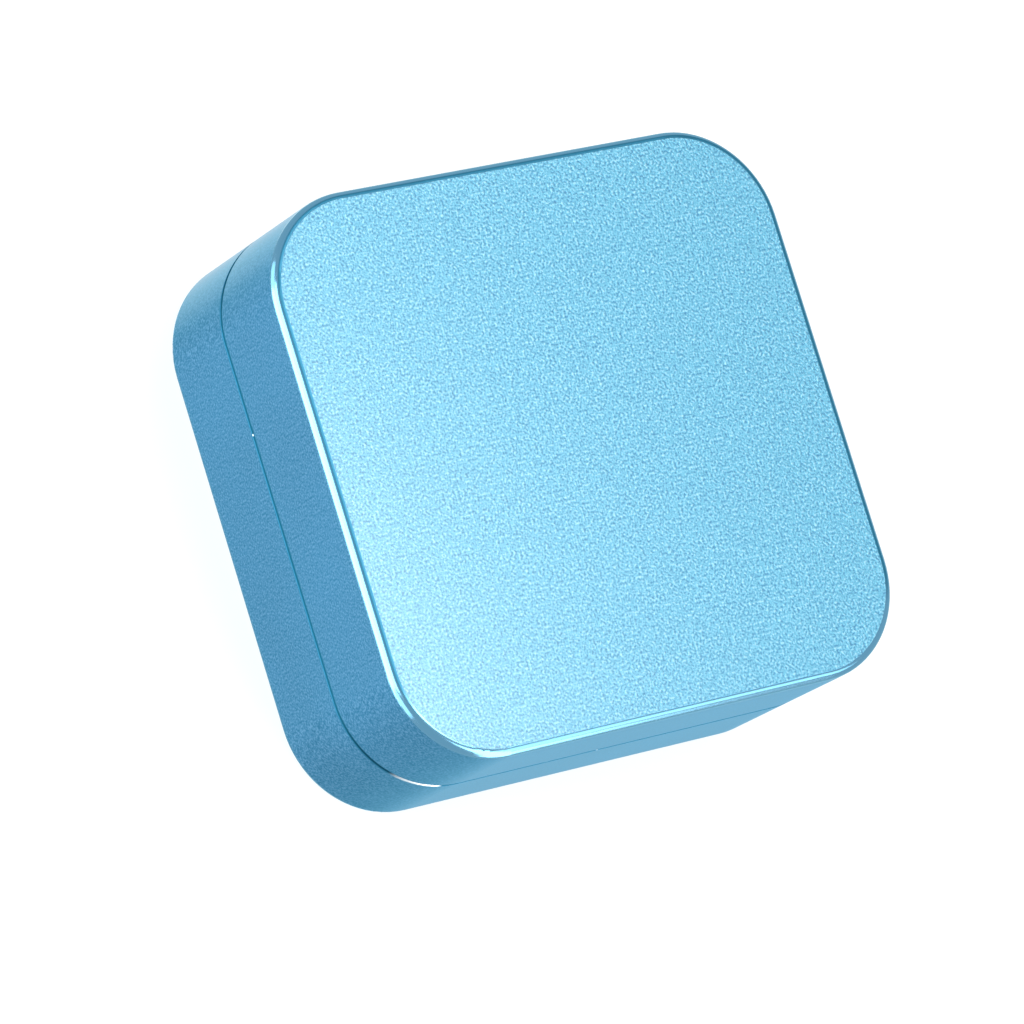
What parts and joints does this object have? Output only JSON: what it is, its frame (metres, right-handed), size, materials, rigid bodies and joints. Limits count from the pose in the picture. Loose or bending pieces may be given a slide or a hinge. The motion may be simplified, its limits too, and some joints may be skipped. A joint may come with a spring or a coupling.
{
  "type": "magnetic glass cleaner",
  "caption": "Two-part magnetic tank glass cleaner: flat rounded-square aluminium halves that hold each other through the glass, with a felt pad outside and a scrubbing pad inside.",
  "frame": {"origin": "centre of the dry half's outer face, the face the closed cleaner lies on", "axes": "+Z from the dry half's outer face through both pads to the wet half's outer face; +X along the 45 mm width; +Y along the 44 mm length"},
  "size_m": [0.045, 0.044, 0.018],
  "materials": {
    "shell": "sandblasted, light blue anodised, polished edge fillet",
    "yoke": "cold rolled, zinc plated",
    "magnet": "nickel plated",
    "carrier": "moulded, fine texture",
    "gasket": "soft silicone",
    "cover": "moulded, fine texture",
    "screws": "stainless, turned",
    "hook_tape": "nylon hooks on a woven tape",
    "loop_fabric": "brushed nylon loops",
    "felt": "pressed felt",
    "scrub_fibre": "open nylon scrubbing web"
  },
  "bodies": {
    "dry_half": {"dry_shell": "shell", "dry_yoke": "yoke", "dry_carrier": "carrier", "dry_magnet_1": "magnet", "dry_magnet_2": "magnet", "dry_magnet_3": "magnet", "dry_magnet_4": "magnet", "dry_gasket": "gasket", "dry_cover": "cover", "dry_screws": "screws", "dry_hook_sheet": "hook_tape"},
    "dry_pad": {"dry_loop_backing": "loop_fabric", "felt_pad": "felt"},
    "wet_pad": {"wet_loop_backing": "loop_fabric", "scrub_pad": "scrub_fibre"},
    "wet_half": {"wet_shell": "shell", "wet_yoke": "yoke", "wet_carrier": "carrier", "wet_magnet_1": "magnet", "wet_magnet_2": "magnet", "wet_magnet_3": "magnet", "wet_magnet_4": "magnet", "wet_gasket": "gasket", "wet_cover": "cover", "wet_screws": "screws", "wet_hook_sheet": "hook_tape"}
  },
  "joints": [
    {"name": "felt_pad_peel", "type": "slide", "parent": "dry_half", "child": "dry_pad", "axis": [0, 0, 1], "range_m": [0, 0.02]},
    {"name": "halves_part", "type": "slide", "parent": "dry_pad", "child": "wet_pad", "axis": [0, 0, 1], "range_m": [0, 0.04]},
    {"name": "scrub_pad_peel", "type": "slide", "parent": "wet_pad", "child": "wet_half", "axis": [0, 0, 1], "range_m": [0, 0.02]}
  ]
}
